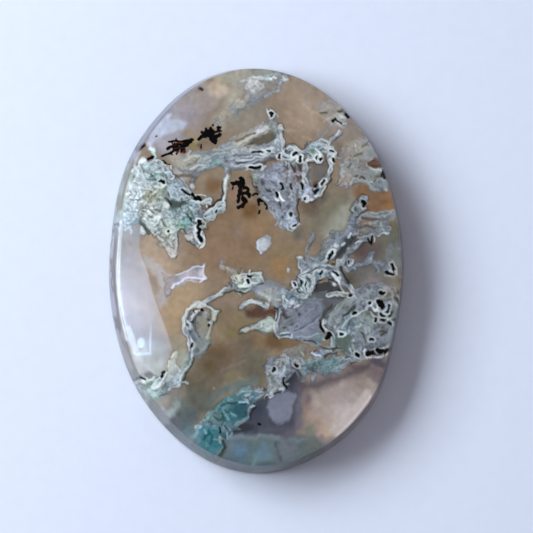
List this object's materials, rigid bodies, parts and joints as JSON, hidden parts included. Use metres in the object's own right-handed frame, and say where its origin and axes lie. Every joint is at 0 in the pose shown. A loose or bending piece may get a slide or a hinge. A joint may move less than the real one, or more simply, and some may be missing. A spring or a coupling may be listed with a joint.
{
  "type": "moss agate cabochon",
  "caption": "Oval moss agate cabochon with a flat bevelled back, a leaning side wall, a rounded shoulder and a low polished dome.",
  "frame": {"origin": "middle of the flat back", "axes": "+Z out of the dome, +Y along the stone's length, +X across its width"},
  "size_m": [0.024, 0.033, 0.005],
  "materials": {
    "agate": "polished"
  },
  "bodies": {
    "root": {"cabochon": "agate"}
  },
  "joints": []
}
